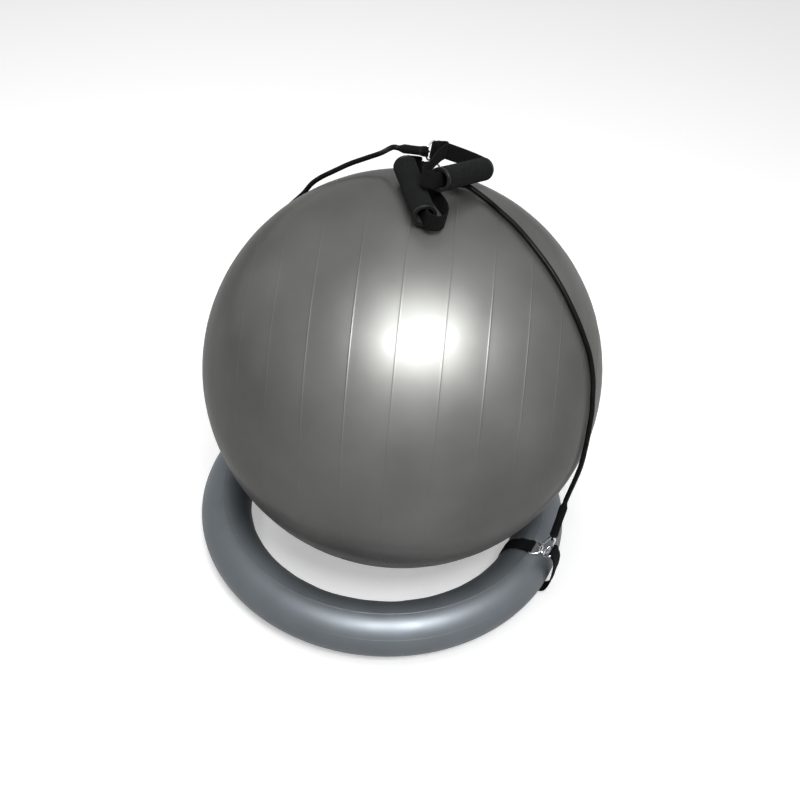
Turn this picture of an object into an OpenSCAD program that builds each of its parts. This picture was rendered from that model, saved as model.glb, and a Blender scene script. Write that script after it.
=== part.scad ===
// Exercise ball resting in an inflated base ring, with two resistance bands.
// Each band hooks to a webbing strap round the ring, runs up the ball and ends in a foam handle.
// Millimetres, +Z up, the floor is z = 0, the origin is under the middle of the overall size.

/* [Ball] */
// Radius of the ball, without its ribs
ball_r = 325; // [300:1:350]
// Thickness of the ball's skin
ball_wall = 1.2; // [0.8:0.1:2]
// Angle between two ribs, seen from the ball's centre
rib_pitch = 11.25; // [9:0.25:15]
// Height of a rib above the skin
rib_h = 0.6; // [0.3:0.1:0.8]
// Radius of the bead that makes a rib
rib_bead_r = 1.2; // [1:0.1:2]
// Turn of the ribs' axis on the floor
rib_turn = -2.5; // [-10:0.5:10]
// Flat that the ball's weight makes on the floor, as a depth
ball_sink = 1; // [0.5:0.1:1.5]
// Direction in which the ball leans on the ring
lean_turn = 63.4; // [50:0.1:75]

/* [Base ring] */
// Radius from the middle of the ring to the middle of its tube
ring_r = 278.7; // [265:0.1:290]
// Radius of the ring's inflated tube
tube_r = 43.6; // [40:0.1:48]
// Thickness of the ring's skin
ring_wall = 1.2; // [0.8:0.1:2]
// Flat that the ring makes on the floor, as a depth
ring_sink = 1.5; // [1:0.1:2]
// Height of the two seam lines along the ring
seam_h = 0.35; // [0.2:0.05:0.4]
// Half width of a seam line
seam_r = 1; // [0.8:0.1:1.5]
// Places of the seam lines round the tube, from the outside upwards
seam_angles = [27, 85];

/* [Valves] */
// Radius of a valve plug's head
plug_head_r = 8; // [6:0.5:10]
// Thickness of a valve plug's head
plug_head_h = 1.6; // [1:0.1:2]
// Radius of a valve plug's stem
plug_stem_r = 3.8; // [3:0.1:4.5]
// Length of a valve plug's stem
plug_stem_l = 16; // [10:1:20]
// Thickness of the boss that holds a plug
boss_h = 6; // [4:0.5:8]

/* [Anchor straps] */
// Direction of the right-hand strap, seen from the ring's middle
anchor_turn = -26; // [-32:1:-22]
// Width of the webbing
strap_w = 25; // [20:1:25]
// Thickness of the webbing
strap_t = 1.6; // [1.2:0.1:1.8]
// Gap between the webbing and the ring
strap_gap = 0.7; // [0.5:0.1:1]
// Wire radius of the strap's loops of steel
dring_wire_r = 1.5; // [1.2:0.1:1.5]
// Inside width of the steel loops
dring_inside = 26; // [26:0.5:28]
// Depth of the steel loops, from bar to bow
dring_depth = 18; // [18:0.5:20]
// Clearance between a steel bar and the webbing round it
bar_gap = 0.4; // [0.3:0.05:0.5]

/* [Snap hooks] */
// Overall length of a snap hook
hook_l = 50; // [48:0.5:54]
// Wire radius of a snap hook
hook_wire_r = 2; // [1.8:0.1:2.1]
// Radius of the wide end, at the middle of the wire
hook_wide_r = 8; // [7.8:0.1:8.5]
// Radius of the narrow end, at the middle of the wire
hook_eye_r = 4.5; // [4.5:0.1:5]
// Lean of the snap hook from level
hook_lean = 72; // [68:1:76]
// Radius of the gate's pin
gate_pin_r = 0.8; // [0.6:0.05:0.9]
// Running clearance of the gate on its pin
gate_pin_gap = 0.05; // [0.03:0.01:0.1]

/* [Bands] */
// Radius of the rubber tube
band_r = 4; // [3.5:0.1:4.2]
// Radius of the sleeves at the ends of the tube
sleeve_r = 7; // [6:0.1:7.5]
// Length of the sleeve by the snap hook
low_sleeve_l = 62; // [50:1:70]
// Length of the sleeve by the handle
top_sleeve_l = 40; // [38:1:50]
// Radius of the cord loop at the end of a sleeve
eye_cord_r = 1.5; // [1.2:0.1:1.5]
// Radius of the cord loop's turn
eye_turn_r = 5; // [4.9:0.1:5.2]
// Reach of a cord loop from its sleeve
eye_reach = 7; // [7:0.1:8]
// Clearance between the ball's ribs and what lies on the ball
lie_gap = 0.3; // [0.3:0.05:0.5]

/* [Handles] */
// Overall length of a grip
grip_l = 135; // [120:1:140]
// Radius of the foam
foam_r = 17.5; // [16:0.1:17.5]
// Outer radius of the tube in the foam
core_r = 14.5; // [14.2:0.1:15]
// Wall of the tube in the foam
core_wall = 1.5; // [1:0.1:1.6]
// Length of an end cap
cap_l = 4; // [3:0.5:6]
// Thickness of an end cap's face
cap_face = 2; // [1.5:0.1:2.5]
// Width of the handle's webbing
sling_w = 25; // [20:1:25]
// Thickness of the handle's webbing
sling_t = 1.6; // [1.2:0.1:1.8]

/* [Hidden] */
$fn = 64;

skin_grey = [0.42, 0.43, 0.45];
ball_silver = [0.62, 0.62, 0.60];
webbing_black = [0.06, 0.06, 0.07];
steel = [0.75, 0.76, 0.78];

// The ball stands on the floor and leans on the ring's back
ball_z = ball_r - ball_sink;
tube_z = tube_r - ring_sink;
reach = ball_r + rib_h + lie_gap + tube_r;
lean = ring_r - sqrt(pow(reach, 2) - pow(ball_z - tube_z, 2));
lean_at = lean * [cos(lean_turn), sin(lean_turn)];
// The overall size runs from the ring's front left to the ball's back right
ring_reach = ring_r + tube_r;
ball_reach = ball_r + rib_h;
ring_at = -(lean_at + (ball_reach - ring_reach) * [1, 1]) / 2;
ball_at = concat(ring_at + lean_at, ball_z);
lie_r = ball_r + rib_h + lie_gap;

// Steel loops and snap hook in a strap's own frame: x outwards, z up, from the tube's middle
hook_dir = [cos(hook_lean), sin(hook_lean)];
hook_side = [sin(hook_lean), -cos(hook_lean)];
bow_in_hook = hook_wide_r - hook_wire_r - dring_wire_r - bar_gap;
bow_spread = 38;
inner_tilt = 8;
outer_tilt = 216;
loop_hole_r = dring_wire_r + bar_gap;
loop_r = loop_hole_r + strap_t;
inner_bar_turn = 83.1;
inner_bar = (tube_r + strap_gap + loop_r + 0.25) * turned_flat(inner_bar_turn);
hook_at = inner_bar + dring_depth * turned_flat(inner_tilt) - bow_in_hook * turned_flat(hook_lean - 180 - bow_spread);
outer_bow = hook_at + bow_in_hook * turned_flat(hook_lean - 180 + bow_spread);
outer_bar = outer_bow - dring_depth * turned_flat(outer_tilt);
dring_half = dring_inside / 2 + dring_wire_r;
dring_corner = 2.5;

hook_span = hook_l - hook_wide_r - hook_eye_r - 2 * hook_wire_r;
hook_taper = asin((hook_wide_r - hook_eye_r) / hook_span);
gate_at = 27;
gate_tip = 2.2;
gate_eye_r = 2.4;
gate_room_r = 2.8;
gate_plate = 1.8;
gate_slot = 2;
gate_w = 4.2;
cord_gap = 0.25;

// Directions of the sleeves as turn and rise: the lower ones upwards, the upper ones away from the handle
right_sleeve_aim = [59.5, 69.5];
left_sleeve_aim = [88, 82];
right_top_aim = [-23.4, -13];
left_top_aim = [158, -8];

// Band routes on the ball: turn, rise and height above the lying tube, from the ball's middle
right_route = [
    [-28, -9, 2], [-28.5, 0, 0], [-28, 6, 0], [-26.5, 10.5, 0], [-25.5, 14.5, 0], [-24, 18, 0],
    [-23, 21.5, 0], [-22, 25.5, 0], [-21.5, 30, 0], [-20.5, 36, 0], [-18.5, 43, 0], [-15.5, 50, 0.2],
    [-11, 57, 0.4], [-4, 62.5, 0], [4, 67.2, 0], [12.2, 69.7, 0]];
left_route = [
    [158.5, -9, 2], [158, 0, 0], [156, 9, 0], [152, 18, 0.3], [146, 27, 0.2], [140, 35, 0], [137, 41, 1],
    [136, 46, 5.5], [135, 50.5, 7], [131.5, 54.8, 8.5], [126, 58.6, 12], [119.5, 62, 15.5], [113.5, 66.5, 21.5]];

// Handles from the ball's middle: the grip's middle, its axis, and where the band's sleeve starts
right_grip_mid = (lie_r + foam_r + 0.2) * turned(-91, 87.4);
right_grip_dir = turned(104.7, 2.5);
right_grip_up = unit([0.15, 0.037, 0.99]);
right_bow_dir = unit([24, 1, -3]);
left_grip_mid = [67, 20.5, lie_r + 28.1];
left_grip_dir = turned(58, -16);
left_grip_up = unit([0.135, 0.243, 0.962]);
left_bow_dir = -left_grip_dir;

// Slings in a grip's own frame: along the grip, across to the steel loop, and up
grip_end = grip_l / 2;
right_bar = [69.5, 38, -4.7];
right_sling = concat([right_bar + [1.9, -9, 0], right_bar + [1.5, -12.5, 0]],
    [[75, 27, -5], [83, 29, -5.5], [87, 23, -6], [85, 11, -5.2], [78, 3, -2.2], [grip_end, 0, 0], [55, 0, 0],
    [-55, 0, 0], [-grip_end, 0, 0], [-78, 1.5, 0], [-84, 10, 0], [-81, 22, 0], [-68, 31, 0], [-45, 35, 0],
    [-15, 31, -1.5], [20, 26, -1.5], [52, 23, -4.5]],
    [right_bar + [-2.5, -10, 0], right_bar + [-2.7, -5, 0]]);
left_bar = [20, 66, 14];
left_sling = concat([left_bar + [9, 1.9, 0], left_bar + [13, 1.7, 0]],
    [[46, 74.5, 12.5], [60, 79, 10.5], [70, 74, 9], [76, 60, 7], [81, 35, 3], [84, 12, 0.5], [79, 2, 0],
    [grip_end, 0, 0], [55, 0, 0], [-55, 0, 0], [-grip_end, 0, 0], [-78, 1.5, 0], [-84, 10, 0], [-78, 22, 0.5],
    [-45, 32, 3.5], [-10, 43, 9], [20, 50, 13.5], [38, 53, 15], [43.5, 58, 15], [38, 63, 14.5]],
    [left_bar + [10, -2.5, 0], left_bar + [5, -2.7, 0]]);

function unit(v) = v / norm(v);
function square_to(v, up) = unit(v - (v * up) * up);
function turned_flat(a) = [cos(a), sin(a)];
function turned(turn, rise) = [cos(turn) * cos(rise), sin(turn) * cos(rise), sin(rise)];
function curve(a, b, c, d, t) = (2 * b + (c - a) * t + (2 * a - 5 * b + 4 * c - d) * t * t
    + (3 * b - a - 3 * c + d) * t * t * t) / 2;
// A smooth line through points, with steps to each stretch
function smooth(p, steps) = concat([for (i = [0:len(p) - 2]) for (k = [0:steps - 1])
    curve(p[max(i - 1, 0)], p[i], p[i + 1], p[min(i + 2, len(p) - 1)], k / steps)], [p[len(p) - 1]]);
function heading(p, i) = unit(p[min(i + 1, len(p) - 1)] - p[max(i - 1, 0)]);
// Corners of a strip along a line in a plane, for an outline of even thickness
function beside(p, off) = [for (i = [0:len(p) - 1]) let (h = heading(p, i)) p[i] + off * [-h[1], h[0]]];
function backwards(p) = [for (i = [len(p) - 1:-1:0]) p[i]];
function ribbon(p, t) = concat(beside(p, t / 2), backwards(beside(p, -t / 2)));

// Skin of a swept solid: rings of points joined by triangles, with flat ends
module skin(rings) {
    n = len(rings[0]);
    last = len(rings) - 1;
    sides = [for (i = [0:last - 1]) for (k = [0:n - 1]) let (a = i * n + k, b = i * n + (k + 1) % n)
        each [[a, b, b + n], [a, b + n, a + n]]];
    ends = [for (k = [1:n - 2]) each [[0, k + 1, k], [last * n, last * n + k, last * n + k + 1]]];
    polyhedron([for (r = rings) each r], concat(sides, ends));
}

function ring_round(c, h, side, r, n) = let (s = unit(cross(h, side)), w = cross(s, h))
    [for (k = [0:n - 1]) c + r * (cos(360 * k / n) * w + sin(360 * k / n) * s)];
function ring_flat(c, h, up, w, t) = let (s = unit(cross(up, h)), u = cross(h, s))
    [c + u * w / 2 + s * t / 2, c - u * w / 2 + s * t / 2, c - u * w / 2 - s * t / 2, c + u * w / 2 - s * t / 2];

// Round rod between two points, with a little more at each end to enter what it meets
module rod_in(a, b, r) {
    more = 0.3 * unit(b - a);
    rod(a - more, b + more, r - 0.04);
}

// Round rod between two points
module rod(a, b, r) {
    d = b - a;
    translate(a) rotate([0, acos(d[2] / norm(d)), atan2(d[1], d[0])]) cylinder(r = r, h = norm(d));
}

// Puts a shape with its z axis along dir and its x axis near side
module aligned(at, dir, side) {
    z = unit(dir);
    y = unit(cross(z, side));
    x = cross(y, z);
    multmatrix([[x[0], y[0], z[0], at[0]], [x[1], y[1], z[1], at[1]], [x[2], y[2], z[2], at[2]]]) children();
}

module floor_cut(depth) translate([-2, -2, -1] * 2 * ball_r + [0, 0, depth]) cube([8, 8, 2] * ball_r);

// Ball
module ball_outline() {
    intersection() {
        translate([0, -2 * ball_r]) square([2 * ball_r, 4 * ball_r]);
        union() {
            circle(ball_r, $fn = 180);
            for (k = [-6:6]) rotate(k * rib_pitch) translate([ball_r + rib_h - rib_bead_r, 0]) circle(rib_bead_r);
        }
    }
}

module on_rib_axis() translate(ball_at) rotate([0, 0, rib_turn]) rotate([0, -90, 0]) children();

module ball_shell() {
    boss_r = plug_head_r + 6;
    color(ball_silver) difference() {
        on_rib_axis() rotate_extrude($fn = 180) ball_outline();
        floor_cut(0);
        difference() {
            translate(ball_at) sphere(ball_r - ball_wall, $fn = 180);
            floor_cut(ball_wall);
            on_rib_axis() translate([0, 0, ball_r - boss_h]) cylinder(r = boss_r, h = boss_h);
        }
        on_rib_axis() translate([0, 0, ball_r - plug_head_h]) {
            cylinder(r = plug_head_r + 0.3, h = 2 * plug_head_h);
            translate([0, 0, -2 * boss_h]) cylinder(r = plug_stem_r + 0.05, h = 3 * boss_h);
        }
    }
}

module plug() {
    rotate_extrude() polygon([[0, -plug_stem_l], [plug_stem_r - 1, -plug_stem_l],
        [plug_stem_r, 2 - plug_stem_l], [plug_stem_r, 0], [plug_head_r, 0],
        [plug_head_r, plug_head_h - 0.4], [plug_head_r - 0.8, plug_head_h], [0, plug_head_h]]);
}

module ball_valve_plug() {
    color(webbing_black) on_rib_axis() translate([0, 0, ball_r - plug_head_h + 0.05]) plug();
}

// Base ring
ring_valve_turn = 75;
module at_ring() translate(concat(ring_at, tube_z)) children();
module at_ring_valve() at_ring() rotate([0, 0, ring_valve_turn]) translate([ring_r + tube_r, 0, 0])
    rotate([0, 90, 0]) children();

module strap_grooves(depth) {
    for (turn = [0, 180]) at_ring() rotate([0, 0, anchor_turn + turn])
        translate([ring_r - tube_r, -strap_w / 2 - 1, -tube_z - 1]) cube([2 * tube_r, strap_w + 2, depth + 1]);
}

module base_ring() {
    groove = strap_t + 0.6;
    color(skin_grey) difference() {
        union() {
            at_ring() rotate_extrude($fn = 180) translate([ring_r, 0]) circle(tube_r, $fn = 120);
            for (a = seam_angles) at_ring() rotate_extrude($fn = 180)
                translate([ring_r + (tube_r + seam_h - seam_r) * cos(a), (tube_r + seam_h - seam_r) * sin(a)])
                    circle(seam_r, $fn = 16);
        }
        floor_cut(0);
        strap_grooves(groove);
        difference() {
            at_ring() rotate_extrude($fn = 180) translate([ring_r, 0]) circle(tube_r - ring_wall, $fn = 120);
            floor_cut(ring_wall);
            strap_grooves(groove + ring_wall);
            at_ring_valve() translate([0, 0, -boss_h]) cylinder(r = plug_head_r + 6, h = 2 * boss_h);
        }
        at_ring_valve() translate([0, 0, -plug_head_h - 0.8]) {
            cylinder(r = plug_head_r + 0.3, h = 3 * plug_head_h);
            translate([0, 0, -2 * boss_h]) cylinder(r = plug_stem_r + 0.05, h = 3 * boss_h);
        }
    }
}

module base_ring_valve_plug() {
    color(webbing_black) at_ring_valve() translate([0, 0, -plug_head_h - 0.75]) plug();
}

// Anchors: strap, steel loops, snap hook
module at_anchor(turn) at_ring() rotate([0, 0, anchor_turn + turn]) translate([ring_r, 0, 0]) children();
module upright(w) rotate([90, 0, 0]) linear_extrude(w, center = true) children();

module strap() {
    lie = tube_r + strap_gap;
    mid = lie + strap_t / 2;
    bar_turn = atan2(inner_bar[1], inner_bar[0]);
    flat_z = strap_t / 2 + 0.3 - tube_z;
    flat_turn = 180 + asin(-flat_z / mid);
    wrap = [for (k = [0:40]) mid * turned_flat(bar_turn + (flat_turn - bar_turn) * k / 40)];
    part = tube_r / 43.6;
    loose = smooth([[-14, flat_z], [12, flat_z], [28, 3 - tube_z], part * [42, -33], part * [49, -18],
        part * [51, 0], outer_bar + [9, -39.2], outer_bar + [9, -21.2], outer_bar + [7, -9.2],
        outer_bar + [2.2, -2]], 4);
    difference() {
        union() {
            upright(strap_w) polygon(ribbon(concat(wrap, loose), strap_t));
            upright(strap_w) translate(inner_bar) circle(loop_r);
            upright(strap_w) translate(outer_bar) circle(loop_r);
            // The sewn second layers beside the loops
            upright(strap_w) rotate(bar_turn) polygon(concat(
                [[norm(inner_bar) - 1.4 * strap_t, 0.75 * strap_t], [norm(inner_bar), 1.6 * strap_t],
                    [norm(inner_bar) + loop_r - 1, 0.75 * strap_t]],
                [for (a = [12:4:32]) (lie + 2 * strap_t) * turned_flat(a)],
                [for (a = [32:-4:4]) (lie + strap_t / 2) * turned_flat(a)]));
            upright(strap_w) translate(outer_bar) polygon([[loop_r - 0.6, 0.5], [9.3, -13.2], [10.6, -23.2],
                [10.6, -39.2], [8.5, -39.2], [8.2, -19.2], [4.5, -9.2], [-0.5, 0.6 - loop_r]]);
        }
        upright(2 * strap_w) translate(inner_bar) circle(loop_hole_r);
        upright(2 * strap_w) translate(outer_bar) circle(loop_hole_r);
    }
}

module anchor_strap(turn) color(webbing_black) at_anchor(turn) strap();

// Steel loop: bar along y at the origin, bow towards x
module d_ring() {
    r = dring_wire_r;
    side = dring_half - dring_corner;
    rod([0, -side, 0], [0, side, 0], r);
    for (s = [-1, 1]) {
        translate([dring_corner, s * side, 0]) rotate([0, 0, s > 0 ? 90 : 180])
            rotate_extrude(angle = 90) translate([dring_corner, 0]) circle(r);
        rod([dring_corner, s * dring_half, 0], [dring_depth - dring_half, s * dring_half, 0], r);
    }
    translate([dring_depth - dring_half, 0, 0]) rotate([0, 0, -90])
        rotate_extrude(angle = 180) translate([dring_half, 0]) circle(r);
}

module anchor_d_ring(turn, bar, tilt) {
    color(steel) at_anchor(turn) translate([bar[0], 0, bar[1]]) rotate([0, -tilt, 0]) d_ring();
}

// Snap hook: x to its outer side, y across its wire, z towards its eye
module at_hook(turn) at_anchor(turn) translate([hook_at[0], 0, hook_at[1]])
    rotate([0, 90 - hook_lean, 0]) children();

function hook_edge(z) = (hook_wide_r / cos(hook_taper) - z * tan(hook_taper));
gate_axis = [-hook_edge(gate_at), 0, gate_at];

module arc_wire(r, from, sweep) rotate([90, 0, 0]) rotate([0, 0, from])
    rotate_extrude(angle = sweep) translate([r, 0]) circle(hook_wire_r);

module hook_body(turn) {
    low = [hook_wide_r * cos(hook_taper), 0, hook_wide_r * sin(hook_taper)];
    high = [hook_eye_r * cos(hook_taper), 0, hook_span + hook_eye_r * sin(hook_taper)];
    color(steel) at_hook(turn) difference() {
        union() {
            arc_wire(hook_wide_r, -180, 180 + hook_taper);
            rod_in(low, high, hook_wire_r);
            translate([0, 0, hook_span]) arc_wire(hook_eye_r, hook_taper, 180 - 2 * hook_taper);
            difference() {
                rod_in([-high[0], 0, high[2]], gate_axis, hook_wire_r);
                for (s = [-1, 1]) translate(gate_axis + [0, s * (gate_plate / 2 + 5), 0]) rotate([90, 0, 0])
                    cylinder(r = gate_room_r, h = 10, center = true);
            }
            translate(gate_axis) rotate([90, 0, 0]) cylinder(r = gate_eye_r, h = gate_plate, center = true);
        }
        translate(gate_axis) rotate([90, 0, 0]) cylinder(r = gate_pin_r + gate_pin_gap, h = 10, center = true);
    }
}

module hook_gate(turn) {
    tip = [-hook_edge(gate_tip), 0, gate_tip];
    color(steel) at_hook(turn) difference() {
        union() {
            difference() {
                rod(tip, gate_axis, hook_wire_r);
                translate(gate_axis) rotate([90, 0, 0]) cylinder(r = gate_room_r, h = gate_slot, center = true);
            }
            for (s = [-1, 1]) translate(gate_axis + [0, s * (gate_slot + gate_w) / 4, 0]) rotate([90, 0, 0])
                cylinder(r = gate_eye_r, h = (gate_w - gate_slot) / 2, center = true);
        }
        translate(gate_axis) rotate([90, 0, 0]) cylinder(r = gate_pin_r, h = 10, center = true);
    }
}

module gate_pin(turn) {
    color(steel) at_hook(turn) translate(gate_axis) rotate([90, 0, 0])
        cylinder(r = gate_pin_r, h = gate_w + 0.4, center = true);
}

// Bands
// Sleeve from the origin along z, with a cord loop below it in the plane of x
module sleeve(l) {
    rotate_extrude() polygon([[0, 0], [sleeve_r - 0.8, 0], [sleeve_r, 0.8], [sleeve_r, l - 5],
        [band_r + 1, l], [0, l]]);
    bottom = eye_turn_r - eye_reach;
    translate([0, 0, bottom]) rotate([90, 0, 0]) rotate([0, 0, 180])
        rotate_extrude(angle = 180) translate([eye_turn_r, 0]) circle(eye_cord_r);
    for (s = [-1, 1]) rod([s * eye_turn_r, 0, bottom], [s * eye_turn_r, 0, 0.5], eye_cord_r);
}

function spin(v, a) = [v[0] * cos(a) - v[1] * sin(a), v[0] * sin(a) + v[1] * cos(a), v[2]];
function anchor_point(turn, p) = concat(ring_at, tube_z) + spin([ring_r + p[0], 0, p[1]], anchor_turn + turn);
// Foot of a sleeve whose cord loop hangs on a wire
function loop_foot(wire_at, wire_dir, wire_r, dir) =
    wire_at - (wire_r + eye_cord_r + cord_gap) * square_to(dir, wire_dir) + eye_reach * dir;
function sleeve_foot(turn, dir) = loop_foot(anchor_point(turn, hook_at + (hook_span + hook_eye_r) * hook_dir),
    spin([hook_side[0], 0, hook_side[1]], anchor_turn + turn), hook_wire_r, dir);
right_sleeve_dir = turned(right_sleeve_aim[0], right_sleeve_aim[1]);
left_sleeve_dir = turned(left_sleeve_aim[0], left_sleeve_aim[1]);
right_top_dir = turned(right_top_aim[0], right_top_aim[1]);
left_top_dir = turned(left_top_aim[0], left_top_aim[1]);

module lower_sleeve(turn, dir) {
    color(webbing_black) aligned(sleeve_foot(turn, dir), dir, spin([0, 1, 0], anchor_turn + turn))
        sleeve(low_sleeve_l);
}

function on_ball(route) = [for (p = route) ball_at + (lie_r + band_r + p[2]) * turned(p[0], p[1])];
function top_foot(f, bar, bow_dir, dir) =
    loop_foot(in_frame(f, bar) + dring_depth * square_to(bow_dir, f[3]), f[3], dring_wire_r, dir);
// The tube starts square to one sleeve and ends square to the other
function band_line(turn, dir, route, foot, top_dir) = let (a = sleeve_foot(turn, dir) + low_sleeve_l * dir,
    b = foot + top_sleeve_l * top_dir)
    concat([a, a + 3 * band_r * dir], on_ball(route), [b + 3 * band_r * top_dir, b]);

module band_tube(line, steps) {
    p = smooth(line, steps);
    last = len(p) - 1;
    color(webbing_black) skin([for (i = [0:last]) ring_round(p[i],
        i == 0 ? unit(line[1] - line[0]) : i == last ? unit(line[len(line) - 1] - line[len(line) - 2]) : heading(p, i),
        [0.1, 0.2, 1], band_r, 8)]);
}

module upper_sleeve(f, foot, dir) {
    color(webbing_black) aligned(foot, dir, cross(f[3], dir)) sleeve(top_sleeve_l);
}

// Handles
function grip_frame(mid, dir, up) = [ball_at + mid, dir, unit(cross(dir, up)), unit(cross(unit(cross(dir, up)), dir))];
right_frame = grip_frame(right_grip_mid, right_grip_dir, right_grip_up);
left_frame = let (f = grip_frame(left_grip_mid, left_grip_dir, left_grip_up)) [f[0], f[1], -f[2], f[3]];
function in_frame(f, p) = f[0] + p[0] * f[1] + p[1] * f[2] + p[2] * f[3];
right_top_foot = top_foot(right_frame, right_bar, right_bow_dir, right_top_dir);
left_top_foot = top_foot(left_frame, left_bar, left_bow_dir, left_top_dir);

module at_grip(f) aligned(f[0], f[1], f[2]) children();

module grip_core(f) color(webbing_black) at_grip(f) difference() {
    cylinder(r = core_r, h = grip_l - 2 * cap_face, center = true);
    cylinder(r = core_r - core_wall, h = grip_l, center = true);
}

module grip_foam(f) color(webbing_black) at_grip(f) difference() {
    cylinder(r = foam_r, h = grip_l - 2 * cap_l, center = true);
    cylinder(r = core_r, h = grip_l, center = true);
}

module grip_cap(f, end) {
    color(webbing_black) at_grip(f) translate([0, 0, end * (grip_l / 2 - cap_l)])
        rotate([end > 0 ? 0 : 180, 0, 0]) rotate_extrude() polygon([[core_r, 0], [foam_r - 0.1, 0],
            [foam_r - 0.1, cap_l - 1.2], [foam_r - 0.5, cap_l - 0.4], [foam_r - 1.3, cap_l],
            [core_r - core_wall, cap_l], [core_r - core_wall, cap_l - cap_face], [core_r, cap_l - cap_face]]);
}

// The sling runs through the grip, meets itself at the steel bar and turns back round it
sling_turn_r = dring_wire_r + bar_gap + sling_t / 2;
function sling_line(p, bar, aim) = concat(smooth(p, 3),
    [for (a = [90:-20:-110]) bar + sling_turn_r * [cos(a + aim), sin(a + aim), 0]],
    [bar + spin([0.6, -6.5, 0], aim - 90), bar + spin([-0.5, -10, 0], aim - 90)]);

module handle_webbing(f, p, bar, aim) {
    line = [for (q = sling_line(p, bar, aim)) in_frame(f, q)];
    color(webbing_black) skin([for (i = [0:len(line) - 1])
        ring_flat(line[i], heading(line, i), f[3], sling_w, sling_t)]);
}

module handle_d_ring(f, bar, bow_dir) {
    out = square_to(bow_dir, f[3]);
    color(steel) aligned(in_frame(f, bar), cross(f[3], out), out) d_ring();
}

ball_shell();
ball_valve_plug();
base_ring();
base_ring_valve_plug();
anchor_strap(0);  // right_anchor_strap
anchor_d_ring(0, inner_bar, inner_tilt);  // right_inner_d_ring
anchor_d_ring(0, outer_bar, outer_tilt);  // right_outer_d_ring
hook_body(0);  // right_hook_body
hook_gate(0);  // right_hook_gate
gate_pin(0);  // right_gate_pin
lower_sleeve(0, right_sleeve_dir);  // right_lower_sleeve
band_tube(band_line(0, right_sleeve_dir, right_route, right_top_foot, right_top_dir), 2);  // right_band_tube
upper_sleeve(right_frame, right_top_foot, right_top_dir);  // right_upper_sleeve
handle_d_ring(right_frame, right_bar, right_bow_dir);  // right_handle_d_ring
handle_webbing(right_frame, right_sling, right_bar, 90);  // right_handle_webbing
grip_core(right_frame);  // right_grip_core
grip_foam(right_frame);  // right_grip_foam
grip_cap(right_frame, -1);  // right_grip_near_cap
grip_cap(right_frame, 1);  // right_grip_far_cap
anchor_strap(180);  // left_anchor_strap
anchor_d_ring(180, inner_bar, inner_tilt);  // left_inner_d_ring
anchor_d_ring(180, outer_bar, outer_tilt);  // left_outer_d_ring
hook_body(180);  // left_hook_body
hook_gate(180);  // left_hook_gate
gate_pin(180);  // left_gate_pin
lower_sleeve(180, left_sleeve_dir);  // left_lower_sleeve
band_tube(band_line(180, left_sleeve_dir, left_route, left_top_foot, left_top_dir), 3);  // left_band_tube
upper_sleeve(left_frame, left_top_foot, left_top_dir);  // left_upper_sleeve
handle_d_ring(left_frame, left_bar, left_bow_dir);  // left_handle_d_ring
handle_webbing(left_frame, left_sling, left_bar, 180);  // left_handle_webbing
grip_core(left_frame);  // left_grip_core
grip_foam(left_frame);  // left_grip_foam
grip_cap(left_frame, -1);  // left_grip_near_cap
grip_cap(left_frame, 1);  // left_grip_far_cap
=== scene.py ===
from math import asin, atan2, cos, degrees, exp, pi, radians, sin, sqrt

import bpy
from mathutils import Matrix, Vector, noise


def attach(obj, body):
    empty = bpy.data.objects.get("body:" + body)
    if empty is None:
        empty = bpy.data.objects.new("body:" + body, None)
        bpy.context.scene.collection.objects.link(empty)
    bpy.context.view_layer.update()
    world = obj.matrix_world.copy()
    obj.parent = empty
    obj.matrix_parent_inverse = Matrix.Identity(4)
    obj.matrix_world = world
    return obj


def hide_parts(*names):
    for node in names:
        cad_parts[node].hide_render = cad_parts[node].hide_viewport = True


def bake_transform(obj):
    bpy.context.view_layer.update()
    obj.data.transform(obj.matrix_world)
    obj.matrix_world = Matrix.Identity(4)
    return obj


# Exercise ball in its inflated ring, with two hooked bands. Lengths below are in millimetres and
# turns in degrees, unless a note says otherwise.
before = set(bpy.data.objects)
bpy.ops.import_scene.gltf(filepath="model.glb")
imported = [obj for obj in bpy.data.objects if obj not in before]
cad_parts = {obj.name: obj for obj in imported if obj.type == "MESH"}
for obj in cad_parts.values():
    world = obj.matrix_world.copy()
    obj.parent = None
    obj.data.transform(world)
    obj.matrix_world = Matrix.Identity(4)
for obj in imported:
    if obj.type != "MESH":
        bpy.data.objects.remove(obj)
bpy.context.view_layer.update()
mm = 0.001
print("frame loaded")

# Camera: the photograph's point of view, found from the outlines of ball and ring
camera = {"place": (6.91, -1331.70, 1419.92), "rise": 40.796, "roll": 3.921, "focal": 1050.0,
          "frame": 800.0, "sensor": 36.0, "farthest": 60}     # farthest in metres


def photoCamera(v):
    rise, roll = radians(v["rise"]), radians(v["roll"])
    back = Vector((0, -cos(rise), sin(rise)))
    level = Vector((0, sin(rise), cos(rise)))
    right = Vector((cos(roll), 0, 0)) + sin(roll) * level
    up = Vector((-sin(roll), 0, 0)) + cos(roll) * level
    data = bpy.data.cameras.new("photoCamera")
    data.sensor_width = v["sensor"]
    data.lens = v["sensor"] * v["focal"] / v["frame"]
    data.clip_end = v["farthest"]
    cam = bpy.data.objects.new("photoCamera", data)
    turn = Matrix((right, up, back)).transposed().to_4x4()
    cam.matrix_world = Matrix.Translation(Vector(v["place"]) * mm) @ turn
    bpy.context.collection.objects.link(cam)
    bpy.context.scene.camera = cam


photoCamera(camera)


def aim(turn, rise):
    t, r = radians(turn), radians(rise)
    return Vector((cos(t) * cos(r), sin(t) * cos(r), sin(r)))


def spun(v, turn):
    return Matrix.Rotation(radians(turn), 3, "Z") @ Vector(v)


def squareTo(v, up):
    return (v - v.dot(up) * up).normalized()


# Shortest turn from b to a
def turnOff(a, b):
    return (a - b + 180) % 360 - 180


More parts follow.
